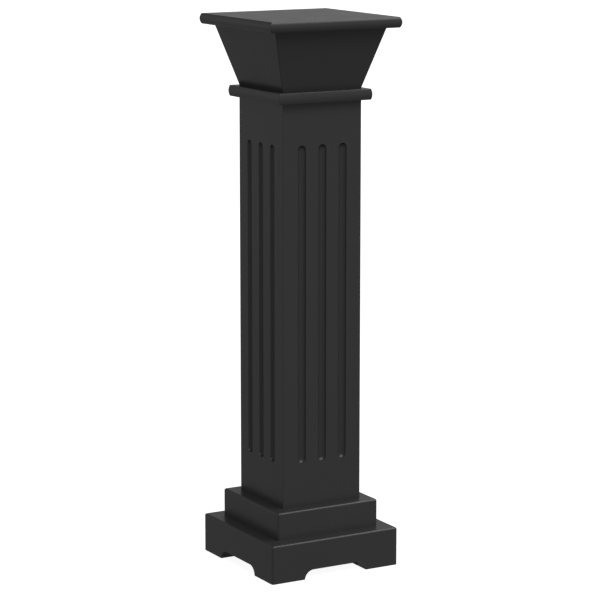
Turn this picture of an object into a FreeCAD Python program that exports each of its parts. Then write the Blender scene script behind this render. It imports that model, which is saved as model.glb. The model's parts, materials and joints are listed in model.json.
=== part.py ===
"""Display plinth: a square column stand for showing a vase or a bust.

A two-tier arched base carries a hollow shaft with three flutes on each side.  A neck
moulding, a flared capital and a moulded top board finish it.  The stages are hollow boxes
of boards mitred at the corners, glued, and joined to one another by countersunk screws
that are driven from inside before each stage is closed.

Frame: millimetres, +Z up, origin on the floor under the middle of the plinth.  The front
is the -Y side, the left is -X, the back is +Y and the right is +X.
"""

import FreeCAD, Part
import math
import os

import Sketcher
from FreeCAD import Placement, Rotation, Vector

SIZES = {
    # lower tier of the base, with an arch cut through each side
    "lower_width": 172.5,
    "lower_height": 46.5,
    "arch_width": 84.5,
    "arch_height": 11,
    "arch_radius": 12,
    # upper tier of the base
    "upper_width": 137,
    "upper_height": 33.5,
    # boards and glue blocks of both tiers
    "rail_thickness": 18,
    "deck_thickness": 12,
    "base_round": 2.5,
    "upper_block_side": 20,
    # shaft, with round-bottomed flutes that stop short of both ends
    "shaft_width": 106,
    "shaft_height": 482.5,
    "panel_thickness": 12,
    "shaft_round": 1,
    "flute_width": 10.8,
    "flute_spacing": 27.5,
    "flute_depth": 4,
    "flute_foot_margin": 52,
    "flute_head_margin": 49.5,
    "batten_side": 15,
    "block_thickness": 18,
    # neck moulding and top board, whose edges are shallow convex arcs
    "neck_width": 122.5,
    "neck_height": 13,
    "neck_bulge": 1.3,
    "top_width": 171,
    "top_height": 12.5,
    "top_bulge": 2.1,
    "moulding_round": 0.7,
    # capital, flaring from the neck to the top board
    "capital_foot_width": 105.5,
    "capital_head_width": 149,
    "capital_height": 72,
    "capital_wall": 12.5,
    "capital_round": 1,
    "plate_thickness": 12,
    # countersunk screws with a cross recess
    "screw_radius": 2,
    "screw_head_radius": 3.95,
    "screw_clearance": 0.05,
    "screw_point": 4,
    "recess_length": 4.2,
    "recess_width": 0.9,
    "recess_depth": 1.3,
    "spare_depth": 1,
    "base_screw_length": 30,
    "base_screw_offset": 30,
    "shaft_screw_length": 25,
    "neck_screw_length": 25,
    "shaft_screw_offset": 20,
    "capital_screw_length": 20,
    "capital_screw_offset": 30,
    "top_screw_length": 20,
    "top_screw_offset": 42,
    # wedges that part the stages along their mitres
    "wedge_reach": 150,
    "wedge_height": 700,
}

# heights at which the stages meet, as expressions over the sheet
LOWER_TOP = "sizes.lower_height"
UPPER_TOP = f"({LOWER_TOP} + sizes.upper_height)"
SHAFT_TOP = f"({UPPER_TOP} + sizes.shaft_height)"
NECK_TOP = f"({SHAFT_TOP} + sizes.neck_height)"
CAPITAL_TOP = f"({NECK_TOP} + sizes.capital_height)"

# widths of the rooms inside the walls, and the middle line of the upper tier's rails
LOWER_ROOM = "(sizes.lower_width - 2 * sizes.rail_thickness)"
UPPER_ROOM = "(sizes.upper_width - 2 * sizes.rail_thickness)"
SHAFT_ROOM = "(sizes.shaft_width - 2 * sizes.panel_thickness)"
CAPITAL_ROOM = "(sizes.capital_foot_width - 2 * sizes.capital_wall)"
UPPER_RAIL_LINE = "(sizes.upper_width / 2 - sizes.rail_thickness / 2)"

# radius of the round-nosed cutter that leaves flutes of the width and depth in the sheet
CUTTER_RADIUS = "((sizes.flute_width / 2) ^ 2 + sizes.flute_depth ^ 2) / (2 * sizes.flute_depth)"

# how far the capital's sides lean out from upright
FLARE = "atan((sizes.capital_head_width - sizes.capital_foot_width) / 2 / sizes.capital_height)"

# undersides of the boards that close each stage
LOWER_DECK = f"({LOWER_TOP} - sizes.deck_thickness)"
UPPER_DECK = f"({UPPER_TOP} - sizes.deck_thickness)"
SHAFT_HEAD_BLOCK = f"({SHAFT_TOP} - sizes.block_thickness)"
CAPITAL_HEAD_PLATE = f"({CAPITAL_TOP} - sizes.plate_thickness)"
CAPITAL_FOOT_PLATE_TOP = f"({NECK_TOP} + sizes.plate_thickness)"

HOLE_RADIUS = "(sizes.screw_radius + sizes.screw_clearance)"
COUNTERSINK = "(sizes.screw_head_radius - sizes.screw_radius)"

# where the screws stand in the first quarter of the plan; the other quarters repeat it
BASE_SCREWS = [
    ("sizes.base_screw_offset", UPPER_RAIL_LINE),
    (UPPER_RAIL_LINE, "sizes.base_screw_offset"),
]
SHAFT_SCREWS = [("sizes.shaft_screw_offset", "sizes.shaft_screw_offset")]
CAPITAL_SCREWS = [("sizes.capital_screw_offset", "sizes.capital_screw_offset")]
TOP_SCREWS = [("sizes.top_screw_offset", "sizes.top_screw_offset")]

SIDES = ["front", "left", "back", "right"]
QUARTERS = 4
QUARTER_TURN = 90
TOLERANCE = 1e-4

# where and how large shapes are first drawn, before their expressions place and size them
DRAWN_SIZE = 10.0
DRAWN_HEIGHT = 500.0

doc = FreeCAD.newDocument("display_plinth")
nodes = []


# ---------------------------------------------------------------- sheet and document helpers

def make_sheet():
    """Put every driving dimension in a spreadsheet cell with an alias."""
    sheet = doc.addObject("Spreadsheet::Sheet", "sizes")
    for row, (alias, size) in enumerate(SIZES.items(), start=1):
        sheet.set(f"A{row}", alias.replace("_", " "))
        sheet.set(f"B{row}", str(size))
        sheet.setAlias(f"B{row}", alias)
    doc.recompute()


def keep(feature, label):
    """Name a feature and mark it as a piece of the plinth."""
    feature.Label = label
    nodes.append(feature)


def origin_feature(body, role):
    return next(item for item in body.Origin.OriginFeatures if item.Role == role)


def intersect(name, base, tool):
    feature = doc.addObject("Part::Common", name)
    feature.Base = base
    feature.Tool = tool
    doc.recompute()
    return feature


# ---------------------------------------------------------------- sketches

def new_sketch(body, name, role="XY_Plane", along=None, across=None, up=None):
    """Add a sketch on one of the body's own planes, shifted by expressions in its axes."""
    sketch = body.newObject("Sketcher::SketchObject", f"{body.Name}_{name}")
    sketch.AttachmentSupport = (origin_feature(body, role), [""])
    sketch.MapMode = "FlatFace"
    for axis, shift in (("x", along), ("y", across), ("z", up)):
        if shift:
            sketch.setExpression(f"AttachmentOffset.Base.{axis}", shift)
    return sketch


def constrain(sketch, *arguments, expression=None):
    index = sketch.addConstraint(Sketcher.Constraint(*arguments))
    if expression:
        sketch.setExpression(f"Constraints[{index}]", expression)


def add_outline(sketch, corners):
    """Draw a closed outline of straight lines, joined end to end."""
    first = sketch.GeometryCount
    count = len(corners)
    points = [Vector(x, y, 0) for x, y in corners]
    for start, end in zip(points, points[1:] + points[:1]):
        sketch.addGeometry(Part.LineSegment(start, end), False)
    for index in range(count):
        constrain(sketch, "Coincident", first + index, 2, first + (index + 1) % count, 1)
    return range(first, first + count)


def add_rectangle(sketch, width, depth):
    """Draw a rectangle about the sketch's origin; width and depth are expressions."""
    half = DRAWN_SIZE / 2
    corners = [(-half, -half), (half, -half), (half, half), (-half, half)]
    bottom, right, top, left = add_outline(sketch, corners)
    constrain(sketch, "Horizontal", bottom)
    constrain(sketch, "Horizontal", top)
    constrain(sketch, "Vertical", right)
    constrain(sketch, "Vertical", left)
    constrain(sketch, "Symmetric", bottom, 1, top, 1, -1, 1)
    constrain(sketch, "DistanceX", bottom, 1, bottom, 2, DRAWN_SIZE, expression=width)
    constrain(sketch, "DistanceY", right, 1, right, 2, DRAWN_SIZE, expression=depth)


def add_circles(sketch, centres, radius):
    """Draw one circle at each centre in the first quarter of the sketch."""
    drawn = Part.Circle(Vector(DRAWN_SIZE, DRAWN_SIZE, 0), Vector(0, 0, 1), DRAWN_SIZE / 4)
    for centre_x, centre_y in centres:
        circle = sketch.addGeometry(drawn, False)
        constrain(sketch, "Radius", circle, DRAWN_SIZE / 4, expression=radius)
        constrain(sketch, "DistanceX", -1, 1, circle, 3, DRAWN_SIZE, expression=centre_x)
        constrain(sketch, "DistanceY", -1, 1, circle, 3, DRAWN_SIZE, expression=centre_y)


# ---------------------------------------------------------------- features of a body

def add_pad(body, sketch, length, midplane=False, taper=None):
    feature = body.newObject("PartDesign::Pad", f"{body.Name}_pad")
    feature.Profile = sketch
    feature.setExpression("Length", length)
    feature.Midplane = midplane
    if taper:
        feature.setExpression("TaperAngle", taper)
    doc.recompute()
    return feature


def add_pocket(body, sketch, depth=None, reverse=False, taper=None):
    """Cut a sketch into the body to a depth, or right through both ways without one."""
    before = body.Shape.Volume
    feature = body.newObject("PartDesign::Pocket", f"{sketch.Name}_pocket")
    feature.Profile = sketch
    if depth:
        feature.setExpression("Length", depth)
        feature.Reversed = reverse
        if taper:
            feature.setExpression("TaperAngle", taper)
    else:
        feature.Type = "ThroughAll"
        feature.Midplane = True
    doc.recompute()
    if body.Shape.Volume > before - TOLERANCE:
        raise RuntimeError(f"{feature.Name} cuts nothing")
    return feature


def add_groove(body, sketch):
    """Cut away what a sketch sweeps in a full turn about its own upright axis."""
    before = body.Shape.Volume
    feature = body.newObject("PartDesign::Groove", f"{sketch.Name}_groove")
    feature.Profile = sketch
    feature.ReferenceAxis = (sketch, ["V_Axis"])
    feature.Angle = 360
    doc.recompute()
    if body.Shape.Volume > before - TOLERANCE:
        raise RuntimeError(f"{feature.Name} cuts nothing")
    return feature


def repeat_about_axis(body, features, angle, count):
    """Repeat features about the upright axis and make the pattern the body's tip."""
    pattern = body.newObject("PartDesign::PolarPattern", f"{features[0].Name}_pattern")
    pattern.Originals = features
    pattern.Axis = (origin_feature(body, "Z_Axis"), [""])
    pattern.Angle = angle
    pattern.Occurrences = count
    body.Tip = pattern
    doc.recompute()


def dress_edges(body, kind, property_name, amount, chosen):
    """Round or chamfer the edges for which chosen(edge) is true."""
    base = body.Tip
    names = [f"Edge{index}" for index, edge in enumerate(base.Shape.Edges, 1) if chosen(edge)]
    if not names:
        raise RuntimeError(f"{body.Name}: no edge to dress after {base.Name}")
    feature = body.newObject(kind, f"{base.Name}_dressed")
    feature.Base = (base, names)
    feature.setExpression(property_name, amount)
    doc.recompute()


def round_edges(body, radius, chosen):
    dress_edges(body, "PartDesign::Fillet", "Radius", radius, chosen)


def end_points(edge):
    return [vertex.Point for vertex in edge.Vertexes]


def reach_of(point):
    """How far a point stands out from the axis, measured square to the sides."""
    return max(abs(point.x), abs(point.y))


def reaches(edge, distance):
    return all(abs(reach_of(end) - distance) < TOLERANCE for end in end_points(edge))


def is_outer_arris(edge, half_width):
    """True for an edge that runs up an outside corner."""
    foot, head = end_points(edge)
    return abs(foot.z - head.z) > TOLERANCE and all(
        abs(abs(place) - half_width) < TOLERANCE for end in (foot, head) for place in end[:2]
    )


def is_level(edge, height):
    return all(abs(end.z - height) < TOLERANCE for end in end_points(edge))


# ---------------------------------------------------------------- holes and screws

def drill(body, centres, mouth, depth=None, countersunk=False, downwards=False):
    """Drill one hole per centre in each quarter, from the mouth's height upwards or down.

    Without a depth the holes go right through.  A countersunk hole has its cone at the
    mouth.
    """
    sketch = new_sketch(body, f"holes_{len(body.Group)}", up=mouth)
    add_circles(sketch, centres, HOLE_RADIUS)
    hole = add_pocket(body, sketch, depth, reverse=not downwards)
    repeat_about_axis(body, [hole], 360, QUARTERS)
    if countersunk:
        height = sketch.Placement.Base.z
        radius = SIZES["screw_radius"] + SIZES["screw_clearance"]
        dress_edges(
            body,
            "PartDesign::Chamfer",
            "Size",
            COUNTERSINK,
            lambda edge: is_level(edge, height) and abs(edge.Length - 2 * math.pi * radius) < TOLERANCE,
        )


def make_screws(label, centres, length, head, pointing_down=False):
    """Countersunk screws, one per centre in each quarter, with their heads at one height."""
    body = doc.addObject("PartDesign::Body", label)
    body.AllowCompound = True
    parts = []
    for number, (centre_x, centre_y) in enumerate(centres):
        shank = new_sketch(body, f"profile_{number}", "XZ_Plane", along=centre_x, up=f"-{centre_y}")
        draw_screw(shank, length)
        turned = body.newObject("PartDesign::Revolution", f"{label}_shank_{number}")
        turned.Profile = shank
        turned.ReferenceAxis = (shank, ["V_Axis"])
        turned.Angle = 360
        doc.recompute()
        parts.append(turned)
        for direction, (width, depth) in enumerate(
            [("sizes.recess_length", "sizes.recess_width"), ("sizes.recess_width", "sizes.recess_length")]
        ):
            slot = new_sketch(body, f"recess_{number}_{direction}", along=centre_x, across=centre_y)
            add_rectangle(slot, width, depth)
            parts.append(add_pocket(body, slot, "sizes.recess_depth", reverse=True))
    repeat_about_axis(body, parts, 360, QUARTERS)
    if pointing_down:
        body.Placement = Placement(Vector(0, 0, 0), Rotation(Vector(1, 0, 0), 180))
    body.setExpression("Placement.Base.z", head)
    keep(body, label)


def draw_screw(sketch, length):
    """Half of a screw's section, with its axis on the sketch's upright axis."""
    head, shank, tip = SIZES["screw_head_radius"], SIZES["screw_radius"], 2 * DRAWN_SIZE
    corners = [(0, 0), (head, 0), (shank, head - shank), (shank, tip - shank), (0, tip)]
    face, cone, side, point, axis = add_outline(sketch, corners)
    constrain(sketch, "Coincident", face, 1, -1, 1)
    constrain(sketch, "Horizontal", face)
    constrain(sketch, "Vertical", side)
    constrain(sketch, "Vertical", axis)
    constrain(sketch, "DistanceX", face, 1, face, 2, head, expression="sizes.screw_head_radius")
    constrain(sketch, "DistanceX", -1, 1, side, 1, shank, expression="sizes.screw_radius")
    constrain(sketch, "DistanceY", -1, 1, side, 1, head - shank, expression=COUNTERSINK)
    constrain(sketch, "DistanceY", -1, 1, axis, 1, tip, expression=length)
    constrain(sketch, "DistanceY", side, 2, axis, 1, shank, expression="sizes.screw_point")


# ---------------------------------------------------------------- mitred stages

def make_sectors():
    """Tall wedges from the axis out over each side: their flanks are the mitre planes."""
    reach = SIZES["wedge_reach"]
    sectors = {}
    for turns, side in enumerate(SIDES):
        body = doc.addObject("PartDesign::Body", f"{side}_sector")
        sketch = new_sketch(body, "plan")
        left, outer, right = add_outline(sketch, [(0, 0), (-reach, -reach), (reach, -reach)])
        constrain(sketch, "Coincident", left, 1, -1, 1)
        constrain(sketch, "Horizontal", outer)
        constrain(sketch, "Perpendicular", left, right)
        constrain(sketch, "Equal", left, right)
        constrain(
            sketch, "DistanceX", outer, 1, outer, 2, 2 * reach, expression="2 * sizes.wedge_reach"
        )
        add_pad(body, sketch, "sizes.wedge_height")
        body.Placement = Placement(Vector(0, 0, 0), Rotation(Vector(0, 0, 1), -QUARTER_TURN * turns))
        sectors[side] = body
    doc.recompute()
    return sectors


def split_at_mitres(stage, sectors, prefix):
    """Cut a hollow square stage into its four mitred boards."""
    for side, sector in sectors.items():
        keep(intersect(f"{prefix}_{side}", stage, sector), f"{prefix}_{side}")


def make_tube(name, outside, room, foot, height):
    """A hollow square stage with upright walls."""
    body = doc.addObject("PartDesign::Body", name)
    sketch = new_sketch(body, "plan", up=foot)
    add_rectangle(sketch, outside, outside)
    add_rectangle(sketch, room, room)
    add_pad(body, sketch, height)
    return body


def make_plate(label, width, foot, thickness, taper=None):
    """A square board or block that lies level, centred on the axis; width is at its foot."""
    body = doc.addObject("PartDesign::Body", label)
    sketch = new_sketch(body, "plan", up=foot)
    add_rectangle(sketch, width, width)
    add_pad(body, sketch, thickness, taper=taper)
    keep(body, label)
    return body


def make_corner_posts(prefix, side, room, foot, height):
    """Four upright square posts in the corners of a square room."""
    low = f"-{room} / 2"
    high = f"{room} / 2 - {side}"
    for depth_name, place_y in (("front", low), ("back", high)):
        for width_name, place_x in (("left", low), ("right", high)):
            name = f"{prefix}_{depth_name}_{width_name}"
            post = doc.addObject("Part::Box", name)
            post.setExpression("Length", side)
            post.setExpression("Width", side)
            post.setExpression("Height", height)
            post.setExpression("Placement.Base.x", place_x)
            post.setExpression("Placement.Base.y", place_y)
            post.setExpression("Placement.Base.z", foot)
            keep(post, name)


# ---------------------------------------------------------------- base

def draw_arch(sketch):
    """An opening with rounded upper corners, whose foot lies a little under the floor."""
    half, height, radius = SIZES["arch_width"] / 2, SIZES["arch_height"], SIZES["arch_radius"]
    foot = height - radius
    right_circle = Part.Circle(Vector(half - radius, foot, 0), Vector(0, 0, 1), radius)
    left_circle = Part.Circle(Vector(radius - half, foot, 0), Vector(0, 0, 1), radius)
    shapes = [
        Part.LineSegment(Vector(-half, foot, 0), Vector(half, foot, 0)),
        Part.ArcOfCircle(right_circle, 0, math.pi / 2),
        Part.LineSegment(Vector(half - radius, height, 0), Vector(radius - half, height, 0)),
        Part.ArcOfCircle(left_circle, math.pi / 2, math.pi),
    ]
    floor, right, crown, left = sketch.addGeometry(shapes, False)
    constrain(sketch, "Coincident", floor, 2, right, 1)
    constrain(sketch, "Tangent", right, 2, crown, 1)
    constrain(sketch, "Tangent", crown, 2, left, 1)
    constrain(sketch, "Coincident", left, 2, floor, 1)
    constrain(sketch, "Horizontal", crown)
    constrain(sketch, "Symmetric", floor, 1, floor, 2, -2)
    constrain(sketch, "PointOnObject", right, 3, floor)
    constrain(sketch, "Radius", right, radius, expression="sizes.arch_radius")
    constrain(sketch, "DistanceX", floor, 1, floor, 2, 2 * half, expression="sizes.arch_width")
    constrain(sketch, "DistanceY", -1, 1, crown, 1, height, expression="sizes.arch_height")
    constrain(sketch, "Equal", left, right)


def round_tier(body, width, top):
    """Ease the outside corners and the upper outside edge of a tier."""
    half = width / 2
    round_edges(
        body,
        "sizes.base_round",
        lambda edge: is_outer_arris(edge, half) or (is_level(edge, top) and reaches(edge, half)),
    )


def make_base(sectors):
    lower_top = SIZES["lower_height"]
    lower = make_tube("lower_tier", "sizes.lower_width", LOWER_ROOM, "0", "sizes.lower_height")
    arch = new_sketch(lower, "arch", "XZ_Plane")
    draw_arch(arch)
    repeat_about_axis(lower, [add_pocket(lower, arch)], QUARTER_TURN, 2)
    round_tier(lower, SIZES["lower_width"], lower_top)
    split_at_mitres(lower, sectors, "base_skirt")

    upper = make_tube("upper_tier", "sizes.upper_width", UPPER_ROOM, LOWER_TOP, "sizes.upper_height")
    round_tier(upper, SIZES["upper_width"], lower_top + SIZES["upper_height"])
    rail_hole_depth = "(sizes.base_screw_length - sizes.deck_thickness + sizes.spare_depth)"
    drill(upper, BASE_SCREWS, LOWER_TOP, rail_hole_depth)
    split_at_mitres(upper, sectors, "plinth_rail")

    foot_side = f"({LOWER_ROOM} - sizes.arch_width) / 2"
    make_corner_posts("foot_block", foot_side, LOWER_ROOM, "0", LOWER_DECK)
    upper_post = "(sizes.upper_height - sizes.deck_thickness)"
    make_corner_posts("plinth_block", "sizes.upper_block_side", UPPER_ROOM, LOWER_TOP, upper_post)

    base_deck = make_plate("base_deck", LOWER_ROOM, LOWER_DECK, "sizes.deck_thickness")
    drill(base_deck, BASE_SCREWS, LOWER_DECK, countersunk=True)
    plinth_deck = make_plate("plinth_deck", UPPER_ROOM, UPPER_DECK, "sizes.deck_thickness")
    drill(plinth_deck, SHAFT_SCREWS, UPPER_DECK, countersunk=True)
    make_screws("base_screws", BASE_SCREWS, "sizes.base_screw_length", LOWER_DECK)
    make_screws("shaft_screws", SHAFT_SCREWS, "sizes.shaft_screw_length", UPPER_DECK)


# ---------------------------------------------------------------- shaft

def draw_flute(sketch):
    """Half of the room that the round-nosed cutter sweeps, with its axis on the upright axis."""
    half, depth = SIZES["flute_width"] / 2, SIZES["flute_depth"]
    radius = (half * half + depth * depth) / (2 * depth)
    shaft_foot = SIZES["lower_height"] + SIZES["upper_height"]
    low = shaft_foot + SIZES["flute_foot_margin"] + half
    high = shaft_foot + SIZES["shaft_height"] - SIZES["flute_head_margin"] - half
    foot_ball = Part.Circle(Vector(0, low, 0), Vector(0, 0, 1), radius)
    head_ball = Part.Circle(Vector(0, high, 0), Vector(0, 0, 1), radius)
    shapes = [
        Part.ArcOfCircle(foot_ball, -math.pi / 2, 0),
        Part.LineSegment(Vector(radius, low, 0), Vector(radius, high, 0)),
        Part.ArcOfCircle(head_ball, 0, math.pi / 2),
        Part.LineSegment(Vector(0, high + radius, 0), Vector(0, low - radius, 0)),
    ]
    foot, side, head, axis = sketch.addGeometry(shapes, False)
    constrain(sketch, "Tangent", foot, 2, side, 1)
    constrain(sketch, "Tangent", side, 2, head, 1)
    constrain(sketch, "Coincident", head, 2, axis, 1)
    constrain(sketch, "Coincident", axis, 2, foot, 1)
    constrain(sketch, "PointOnObject", foot, 3, -2)
    constrain(sketch, "PointOnObject", head, 3, -2)
    constrain(sketch, "PointOnObject", axis, 1, -2)
    constrain(sketch, "PointOnObject", axis, 2, -2)
    constrain(sketch, "Radius", foot, radius, expression=CUTTER_RADIUS)
    foot_height = f"{UPPER_TOP} + sizes.flute_foot_margin + sizes.flute_width / 2"
    head_height = f"{SHAFT_TOP} - sizes.flute_head_margin - sizes.flute_width / 2"
    constrain(sketch, "DistanceY", -1, 1, foot, 3, low, expression=foot_height)
    constrain(sketch, "DistanceY", -1, 1, head, 3, high, expression=head_height)


def cut_flutes(shaft):
    """Cut the same three flutes in each side of the shaft."""
    cutter_axis = f"-(sizes.shaft_width / 2 - sizes.flute_depth + {CUTTER_RADIUS})"
    flutes = []
    for number, place in enumerate(("-sizes.flute_spacing", "0", "sizes.flute_spacing")):
        sketch = new_sketch(shaft, f"flute_{number}", "YZ_Plane", along=cutter_axis, up=place)
        draw_flute(sketch)
        flutes.append(add_groove(shaft, sketch))
    repeat_about_axis(shaft, flutes, 360, QUARTERS)


def make_shaft(sectors):
    half = SIZES["shaft_width"] / 2
    shaft = make_tube("shaft", "sizes.shaft_width", SHAFT_ROOM, UPPER_TOP, "sizes.shaft_height")
    round_edges(shaft, "sizes.shaft_round", lambda edge: is_outer_arris(edge, half))
    cut_flutes(shaft)
    split_at_mitres(shaft, sectors, "shaft_panel")

    foot_block = make_plate("shaft_foot_block", SHAFT_ROOM, UPPER_TOP, "sizes.block_thickness")
    foot_depth = "(sizes.shaft_screw_length - sizes.deck_thickness + sizes.spare_depth)"
    drill(foot_block, SHAFT_SCREWS, UPPER_TOP, foot_depth)
    head_block = make_plate("shaft_head_block", SHAFT_ROOM, SHAFT_HEAD_BLOCK, "sizes.block_thickness")
    drill(head_block, SHAFT_SCREWS, SHAFT_HEAD_BLOCK, countersunk=True)
    batten_foot = f"{UPPER_TOP} + sizes.block_thickness"
    batten_length = "sizes.shaft_height - 2 * sizes.block_thickness"
    make_corner_posts("shaft_batten", "sizes.batten_side", SHAFT_ROOM, batten_foot, batten_length)


# ---------------------------------------------------------------- mouldings

def draw_moulding(sketch, width, bulge, height, expressions):
    """Section of a board with shallow convex edges: flat below and above, an arc each side."""
    half = width / 2
    foot, middle, head = (DRAWN_HEIGHT + share * height for share in (0, 0.5, 1))
    low_left, low_right = Vector(-half, foot, 0), Vector(half, foot, 0)
    high_left, high_right = Vector(-half, head, 0), Vector(half, head, 0)
    shapes = [
        Part.LineSegment(low_left, low_right),
        Part.Arc(low_right, Vector(half + bulge, middle, 0), high_right),
        Part.LineSegment(high_right, high_left),
        Part.Arc(high_left, Vector(-half - bulge, middle, 0), low_left),
    ]
    bottom, right, top, left = sketch.addGeometry(shapes, False)
    for line, following in ((bottom, right), (right, top), (top, left), (left, bottom)):
        constrain(sketch, "Coincident", line, 2, following, 1)
    constrain(sketch, "Symmetric", bottom, 1, bottom, 2, -2)
    constrain(sketch, "Symmetric", top, 1, top, 2, -2)
    constrain(sketch, "Equal", bottom, top)
    constrain(sketch, "Equal", left, right)
    constrain(sketch, "DistanceX", bottom, 1, bottom, 2, width, expression=expressions["width"])
    constrain(sketch, "DistanceY", -1, 1, bottom, 1, foot, expression=expressions["foot"])
    constrain(sketch, "DistanceY", bottom, 2, top, 1, height, expression=expressions["height"])
    radius = (height * height / 4 + bulge * bulge) / (2 * bulge)
    rise, out = f"({expressions['height']} / 2)", f"({expressions['bulge']})"
    arc_radius = f"({rise} * {rise} + {out} * {out}) / (2 * {out})"
    constrain(sketch, "Radius", right, radius, expression=arc_radius)


def make_moulded_board(label, prefix, foot):
    """A square board with convex edges that meet in mitres at its corners."""
    expressions = {name: f"sizes.{prefix}_{name}" for name in ("width", "height", "bulge")}
    expressions["foot"] = foot
    strips = []
    for name in (label, f"{label}_crossing"):
        body = doc.addObject("PartDesign::Body", name)
        sketch = new_sketch(body, "section", "XZ_Plane")
        width, bulge, height = (SIZES[f"{prefix}_{part}"] for part in ("width", "bulge", "height"))
        draw_moulding(sketch, width, bulge, height, expressions)
        add_pad(body, sketch, f"2 * {expressions['width']}", midplane=True)
        strips.append(body)
    board, crossing = strips
    crossing.Placement = Placement(Vector(0, 0, 0), Rotation(Vector(0, 0, 1), QUARTER_TURN))
    common = board.newObject("PartDesign::Boolean", f"{label}_common")
    common.Type = "Common"
    common.setObjects([crossing])
    doc.recompute()
    round_edges(board, "sizes.moulding_round", lambda edge: True)
    keep(board, label)
    return board


def make_neck():
    neck = make_moulded_board("neck_moulding", "neck", SHAFT_TOP)
    lower_depth = "(sizes.neck_screw_length - sizes.block_thickness + sizes.spare_depth)"
    upper_depth = "(sizes.capital_screw_length - sizes.plate_thickness + sizes.spare_depth)"
    drill(neck, SHAFT_SCREWS, SHAFT_TOP, lower_depth)
    drill(neck, CAPITAL_SCREWS, NECK_TOP, upper_depth, downwards=True)
    make_screws("neck_screws", SHAFT_SCREWS, "sizes.neck_screw_length", SHAFT_HEAD_BLOCK)


def make_top():
    top = make_moulded_board("top_board", "top", CAPITAL_TOP)
    depth = "(sizes.top_screw_length - sizes.plate_thickness + sizes.spare_depth)"
    drill(top, TOP_SCREWS, CAPITAL_TOP, depth)
    make_screws("top_screws", TOP_SCREWS, "sizes.top_screw_length", CAPITAL_HEAD_PLATE)


# ---------------------------------------------------------------- capital

def make_capital(sectors):
    capital = doc.addObject("PartDesign::Body", "capital")
    plan = new_sketch(capital, "plan", up=NECK_TOP)
    add_rectangle(plan, "sizes.capital_foot_width", "sizes.capital_foot_width")
    add_pad(capital, plan, "sizes.capital_height", taper=FLARE)
    round_edges(
        capital,
        "sizes.capital_round",
        lambda edge: abs(edge.Vertexes[0].Z - edge.Vertexes[1].Z) > TOLERANCE,
    )
    room = new_sketch(capital, "room", up=NECK_TOP)
    add_rectangle(room, CAPITAL_ROOM, CAPITAL_ROOM)
    add_pocket(capital, room, "sizes.capital_height", reverse=True, taper=FLARE)
    split_at_mitres(capital, sectors, "capital_panel")

    foot_plate = make_plate("capital_foot_plate", CAPITAL_ROOM, NECK_TOP, "sizes.plate_thickness", FLARE)
    drill(foot_plate, CAPITAL_SCREWS, CAPITAL_FOOT_PLATE_TOP, countersunk=True, downwards=True)
    head_room = f"{CAPITAL_ROOM} + 2 * (sizes.capital_height - sizes.plate_thickness) * tan({FLARE})"
    head_plate = make_plate(
        "capital_head_plate", head_room, CAPITAL_HEAD_PLATE, "sizes.plate_thickness", FLARE
    )
    drill(head_plate, TOP_SCREWS, CAPITAL_HEAD_PLATE, countersunk=True)
    make_screws(
        "capital_screws", CAPITAL_SCREWS, "sizes.capital_screw_length", CAPITAL_FOOT_PLATE_TOP, True
    )


make_sheet()
sectors = make_sectors()
make_base(sectors)
make_shaft(sectors)
make_neck()
make_capital(sectors)
make_top()
doc.recompute()

for item in doc.Objects:
    if "Invalid" in item.State or "Error" in item.State:
        raise RuntimeError(f"{item.Name} failed: {item.State}")
os.makedirs("parts", exist_ok=True)
for node in nodes:
    shape = node.Shape
    if shape.isNull() or not shape.isValid():
        raise RuntimeError(f"{node.Label} has no valid shape")
    shape.exportStep(f"parts/{node.Label}.step")
print(f"{len(nodes)} pieces, {sum(len(node.Shape.Solids) for node in nodes)} solids")
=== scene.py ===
import json
import math

import bpy
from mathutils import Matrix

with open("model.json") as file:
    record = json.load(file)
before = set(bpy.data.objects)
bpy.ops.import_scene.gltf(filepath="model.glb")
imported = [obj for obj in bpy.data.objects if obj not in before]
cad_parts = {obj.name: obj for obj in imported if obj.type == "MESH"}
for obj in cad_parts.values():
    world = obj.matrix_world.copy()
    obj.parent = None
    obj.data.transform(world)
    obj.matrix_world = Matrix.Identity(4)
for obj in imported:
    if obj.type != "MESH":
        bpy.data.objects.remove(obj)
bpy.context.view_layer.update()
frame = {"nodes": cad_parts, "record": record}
nodes = frame["nodes"]

# ---------------------------------------------------------------- materials

# a face counts as level where its normal is at least this upright
LEVEL_NORMAL = 0.9
# how far a rounded normal leaves the real one, from where an arris starts to show to where it shows fully
ARRIS_START = 0.02
ARRIS_FULL = 0.35

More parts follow.
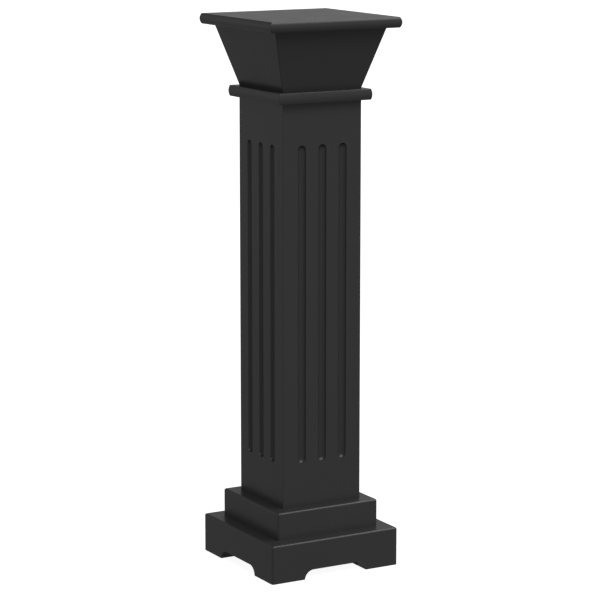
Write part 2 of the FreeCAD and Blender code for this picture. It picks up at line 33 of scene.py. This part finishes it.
class Graph:
    """A material's node tree, with short calls for the nodes that the finishes share."""

    def __init__(self, name):
        self.material = bpy.data.materials.new(name)
        self.material.use_nodes = True
        self.tree = self.material.node_tree
        self.shader = self.tree.nodes["Principled BSDF"]

    def node(self, kind, settings=None, **inputs):
        """A new node: settings are its properties, and inputs the values or sockets of its inputs."""
        made = self.tree.nodes.new(kind)
        for key, value in (settings or {}).items():
            setattr(made, key, value)
        for key, value in inputs.items():
            self.feed(made, key.replace("_", " "), value)
        return made

    def feed(self, node, name, value):
        """Gives a node's input a value, or links a socket to it."""
        socket = next(s for s in node.inputs if s.name == name and s.enabled)
        if isinstance(value, bpy.types.NodeSocket):
            self.tree.links.new(value, socket)
        else:
            socket.default_value = value

    def place(self, stretch=(1, 1, 1)):
        """The point on the model in metres, stretched along the axes."""
        coordinates = self.node("ShaderNodeTexCoord")
        mapping = self.node("ShaderNodeMapping", Vector=coordinates.outputs["Object"], Scale=stretch)
        return mapping.outputs["Vector"]

    def noise(self, place, scale, detail=3.0, roughness=0.5):
        """Soft random variation from 0 to 1, with about scale patches to the metre."""
        made = self.node(
            "ShaderNodeTexNoise", Vector=place, Scale=scale, Detail=detail, Roughness=roughness,
        )
        return made.outputs["Fac"]

    def spread(self, value, low, high, to_low, to_high):
        """value's range low to high moved to to_low to to_high, and held there outside it."""
        made = self.node(
            "ShaderNodeMapRange", {"clamp": True}, Value=value, From_Min=low, From_Max=high,
            To_Min=to_low, To_Max=to_high,
        )
        return made.outputs["Result"]

    def combine(self, operation, first, second=0.0):
        """A sum, product or comparison of two values, each a socket or a number."""
        made = self.node("ShaderNodeMath", {"operation": operation})
        for socket, value in zip(made.inputs, (first, second)):
            if isinstance(value, bpy.types.NodeSocket):
                self.tree.links.new(value, socket)
            else:
                socket.default_value = value
        return made.outputs["Value"]

    def blend(self, share, first, second):
        """A colour between first and second, each an (r, g, b) or a socket."""
        made = self.node("ShaderNodeMix", {"data_type": "RGBA"}, Factor=share)
        for name, colour in (("A", first), ("B", second)):
            value = colour if isinstance(colour, bpy.types.NodeSocket) else (*colour, 1.0)
            self.feed(made, name, value)
        return next(s for s in made.outputs if s.enabled)

    def arris(self, reach):
        """1 at the shape's corners, and 0 from reach metres away: where rounding would turn the normal."""
        rounded = self.node("ShaderNodeBevel", {"samples": 6}, Radius=reach)
        true = self.node("ShaderNodeNewGeometry")
        match = self.node("ShaderNodeVectorMath", {"operation": "DOT_PRODUCT"})
        self.tree.links.new(rounded.outputs["Normal"], match.inputs[0])
        self.tree.links.new(true.outputs["Normal"], match.inputs[1])
        return self.spread(match.outputs["Value"], 1 - ARRIS_FULL, 1 - ARRIS_START, 1.0, 0.0)

    def level(self):
        """1 on faces that lie level, and 0 on the others."""
        geometry = self.node("ShaderNodeNewGeometry")
        normal = self.node("ShaderNodeSeparateXYZ", Vector=geometry.outputs["Normal"])
        upright = self.combine("ABSOLUTE", normal.outputs["Z"])
        return self.combine("GREATER_THAN", upright, LEVEL_NORMAL)

    def off_mitres(self, reach):
        """0 on level faces within reach of a mitre joint, which runs where |x| = |y|, and 1 elsewhere."""
        point = self.node("ShaderNodeSeparateXYZ", Vector=self.place())
        along, across = (self.combine("ABSOLUTE", point.outputs[axis]) for axis in ("X", "Y"))
        gap = self.combine("ABSOLUTE", self.combine("SUBTRACT", along, across))
        near = self.combine("LESS_THAN", gap, reach)
        return self.combine("SUBTRACT", 1.0, self.combine("MULTIPLY", near, self.level()))

    def finish(self, colour, roughness, height, depth, **plain):
        """The finished material.

        colour, roughness and height are sockets. The height is a bump, depth metres from 0 to 1.
        plain holds values that are the same all over, for the shader's own sockets.
        """
        self.tree.links.new(colour, self.shader.inputs["Base Color"])
        self.tree.links.new(roughness, self.shader.inputs["Roughness"])
        bump = self.node("ShaderNodeBump", Height=height, Strength=1.0, Distance=depth)
        self.tree.links.new(bump.outputs["Normal"], self.shader.inputs["Normal"])
        for name, value in plain.items():
            self.shader.inputs[name.replace("_", " ")].default_value = value
        return self.material


BLACK_PAINT = (0.0375, 0.0375, 0.0378)
BLACK_PAINT_DEEP = (0.0335, 0.0335, 0.0338)
BLACK_WORN = (0.060, 0.060, 0.061)
# metres: how far handling has rubbed the paint from an arris, and the joint that it leaves alone
RUBBED_REACH = 0.0007
MITRE_REACH = 0.0015


def black_lacquer():
    """Sprayed satin black on board, with soft clouds in the film and fine orange peel.

    Its arrises are rubbed a little lighter. Level faces also show faint sanding lines that run from
    left to right.
    """
    g = Graph("black_lacquer")
    place = g.place()
    film = g.blend(g.noise(place, 14.0, 2.0), BLACK_PAINT_DEEP, BLACK_PAINT)
    patches = g.spread(g.noise(place, 60.0, 2.0), 0.3, 0.7, 0.1, 0.7)
    rubbed = g.combine("MULTIPLY", g.arris(RUBBED_REACH), patches)
    rubbed = g.combine("MULTIPLY", rubbed, g.off_mitres(MITRE_REACH))
    colour = g.blend(rubbed, film, BLACK_WORN)
    roughness = g.spread(g.noise(place, 45.0, 2.0), 0.2, 0.8, 0.265, 0.335)
    peel = g.noise(place, 420.0, 1.0)
    grain = g.combine("MULTIPLY", g.noise(place, 1600.0, 1.0), 0.35)
    lines = g.combine("MULTIPLY", g.noise(g.place((0.04, 1, 1)), 330.0, 2.0), g.level())
    height = g.combine("ADD", g.combine("ADD", peel, grain), g.combine("MULTIPLY", lines, 1.5))
    return g.finish(colour, roughness, height, 0.00001)


def black_foot():
    """Hard black rubbery plastic with a moulded grain."""
    g = Graph("black_foot")
    place = g.place()
    colour = g.blend(g.noise(place, 40.0, 3.0), (0.010, 0.010, 0.010), (0.017, 0.017, 0.018))
    roughness = g.spread(g.noise(place, 120.0), 0.3, 0.7, 0.62, 0.78)
    return g.finish(colour, roughness, g.noise(place, 900.0, 2.0), 0.00006, Specular_IOR_Level=0.3)


def raw_board():
    """Bare fibreboard: pale brown felted fibres with darker flecks."""
    g = Graph("raw_board")
    place = g.place()
    tone = g.blend(g.noise(place, 25.0, 5.0), (0.33, 0.22, 0.13), (0.44, 0.31, 0.19))
    fleck = g.spread(g.noise(g.place((1, 1, 6)), 700.0, 3.0, 0.65), 0.58, 0.72, 0.0, 0.7)
    colour = g.blend(fleck, tone, (0.16, 0.10, 0.055))
    roughness = g.spread(g.noise(place, 200.0), 0.3, 0.7, 0.75, 0.92)
    return g.finish(colour, roughness, g.noise(place, 1400.0, 3.0), 0.00008, Specular_IOR_Level=0.3)


def softwood():
    """Planed pine with its grain along the height."""
    g = Graph("softwood")
    rings = g.node(
        "ShaderNodeTexWave", {"wave_type": "RINGS", "rings_direction": "Z"},
        Vector=g.place((1, 1, 0.05)), Scale=140.0, Distortion=3.0, Detail=3.0, Detail_Scale=1.5,
    ).outputs["Fac"]
    fibre = g.noise(g.place((1, 1, 0.04)), 1500.0, 3.0)
    early = g.blend(fibre, (0.56, 0.38, 0.20), (0.64, 0.46, 0.26))
    colour = g.blend(g.spread(rings, 0.45, 0.95, 0.0, 0.8), early, (0.40, 0.22, 0.09))
    roughness = g.spread(fibre, 0.3, 0.7, 0.55, 0.72)
    return g.finish(colour, roughness, fibre, 0.00006)


def zinc_screw():
    """Bright zinc plate: faint blue and yellow bloom, fine scratches."""
    g = Graph("zinc_screw")
    place = g.place()
    colour = g.blend(g.noise(place, 260.0, 3.0), (0.56, 0.57, 0.60), (0.66, 0.63, 0.55))
    roughness = g.spread(g.noise(place, 900.0, 4.0), 0.3, 0.7, 0.24, 0.42)
    return g.finish(colour, roughness, g.noise(place, 2500.0, 2.0), 0.00001, Metallic=1.0)


FINISHES = {
    "black_lacquer": black_lacquer(),
    "black_foot": black_foot(),
    "raw_board": raw_board(),
    "softwood": softwood(),
    "zinc_screw": zinc_screw(),
}

for part in frame["record"]["subparts"]:
    mesh = nodes[part["node"]].data
    mesh.materials.clear()
    mesh.materials.append(FINISHES[part["material_slot"]])

# ---------------------------------------------------------------- floor, light and camera

# metres from the middle, and height: a flat table that curves up into a wall
SWEEP_PROFILE = [
    (8.0, 0.0), (12.0, 0.0), (14.0, 0.4), (15.6, 1.5), (16.7, 3.1), (17.0, 5.0), (17.0, 9.0),
]
SWEEP_SIDES = 96
SWEEP_TONES = ((0.34, 0.34, 0.34), (0.36, 0.36, 0.36))
SWEEP_GLOW = 0.93


def make_sweep():
    """A table that curves up into a wall all round and glows white, as a lit acrylic table does.

    Only the camera sees it, so the plinth's own light stays the plain grey of the studio.
    """
    rings = [
        [(reach * math.cos(turn), reach * math.sin(turn), height)
         for turn in (2 * math.pi * side / SWEEP_SIDES for side in range(SWEEP_SIDES))]
        for reach, height in SWEEP_PROFILE
    ]
    corners = [(0.0, 0.0, 0.0)] + [corner for ring in rings for corner in ring]
    faces = []
    for side in range(SWEEP_SIDES):
        after = (side + 1) % SWEEP_SIDES
        faces.append((0, 1 + side, 1 + after))
        for ring in range(len(rings) - 1):
            low, high = 1 + ring * SWEEP_SIDES, 1 + (ring + 1) * SWEEP_SIDES
            faces.append((low + side, high + side, high + after, low + after))
    mesh = bpy.data.meshes.new("sweep")
    mesh.from_pydata(corners, [], faces)
    mesh.polygons.foreach_set("use_smooth", [True] * len(faces))
    sweep = bpy.data.objects.new("sweep", mesh)
    bpy.context.scene.collection.objects.link(sweep)
    g = Graph("pale_sweep")
    tone = g.blend(g.noise(g.place(), 3.0), *SWEEP_TONES)
    height = g.noise(g.place(), 400.0)
    g.finish(
        tone, g.spread(height, 0.3, 0.7, 0.8, 0.9), height, 0.00002,
        Specular_IOR_Level=0.0, Emission_Color=(1.0, 1.0, 1.0, 1.0), Emission_Strength=SWEEP_GLOW,
    )
    # nothing but the camera sees it, so taking it for a lamp would only add noise
    g.material.cycles.emission_sampling = "NONE"
    mesh.materials.append(g.material)
    sweep.visible_diffuse = False
    sweep.visible_glossy = False
    sweep.visible_shadow = False


# soft lights: turn to the right of the front, rise above the floor and width in degrees, then strength
SOFT_LIGHTS = {
    "front_light": (0.0, 45.0, 40.0, 1.161),
    "right_light": (60.0, 45.0, 40.0, 1.048),
    "back_light": (120.0, 45.0, 40.0, 0.447),
}

# the studio's grey by height, from straight down at 0 through the horizon at 0.5 to straight up at 1
STUDIO_GREYS = [
    (0.0, 0.084), (0.275, 0.209), (0.41, 0.248), (0.5, 0.382), (0.6, 0.334), (0.75, 0.135), (1.0, 0.160),
]


def make_light():
    """Soft lights round the front and the right, in a grey studio that is darker above and below."""
    for name, (turn, rise, width, strength) in SOFT_LIGHTS.items():
        light = bpy.data.lights.new(name, "SUN")
        light.energy = strength
        light.angle = math.radians(width)
        lamp = bpy.data.objects.new(name, light)
        lamp.rotation_euler = (math.radians(90 - rise), 0.0, math.radians(turn))
        bpy.context.scene.collection.objects.link(lamp)

    world = bpy.data.worlds.new("studio")
    world.use_nodes = True
    tree = world.node_tree
    direction = tree.nodes.new("ShaderNodeTexCoord")
    split = tree.nodes.new("ShaderNodeSeparateXYZ")
    height = tree.nodes.new("ShaderNodeMapRange")
    height.inputs["From Min"].default_value = -1.0
    grade = tree.nodes.new("ShaderNodeValToRGB")
    stops = grade.color_ramp.elements
    while len(stops) < len(STUDIO_GREYS):
        stops.new(1.0)
    for stop, (position, grey) in zip(stops, STUDIO_GREYS):
        stop.position = position
        stop.color = (grey, grey, grey, 1.0)
    tree.links.new(direction.outputs["Generated"], split.inputs["Vector"])
    tree.links.new(split.outputs["Z"], height.inputs["Value"])
    tree.links.new(height.outputs["Result"], grade.inputs["Fac"])
    tree.links.new(grade.outputs["Color"], tree.nodes["Background"].inputs["Color"])
    bpy.context.scene.world = world
    bpy.context.scene.view_settings.view_transform = "Standard"


# metres; degrees to the left of the front and below the horizon; millimetres
CAMERA_PLACE = (-1.4725009, -2.5807619, 0.873943)
CAMERA_AZIMUTH = 29.7103
CAMERA_DIP = 10.5725
CAMERA_LENS = 151.24
CAMERA_SENSOR = 36.0


def make_camera():
    """A long lens from the front left, a little above the top of the plinth."""
    lens = bpy.data.cameras.new("camera")
    lens.lens = CAMERA_LENS
    lens.sensor_width = CAMERA_SENSOR
    camera = bpy.data.objects.new("camera", lens)
    camera.location = CAMERA_PLACE
    camera.rotation_euler = (math.radians(90 - CAMERA_DIP), 0.0, math.radians(-CAMERA_AZIMUTH))
    bpy.context.scene.collection.objects.link(camera)
    bpy.context.scene.camera = camera


make_sweep()
make_light()
make_camera()
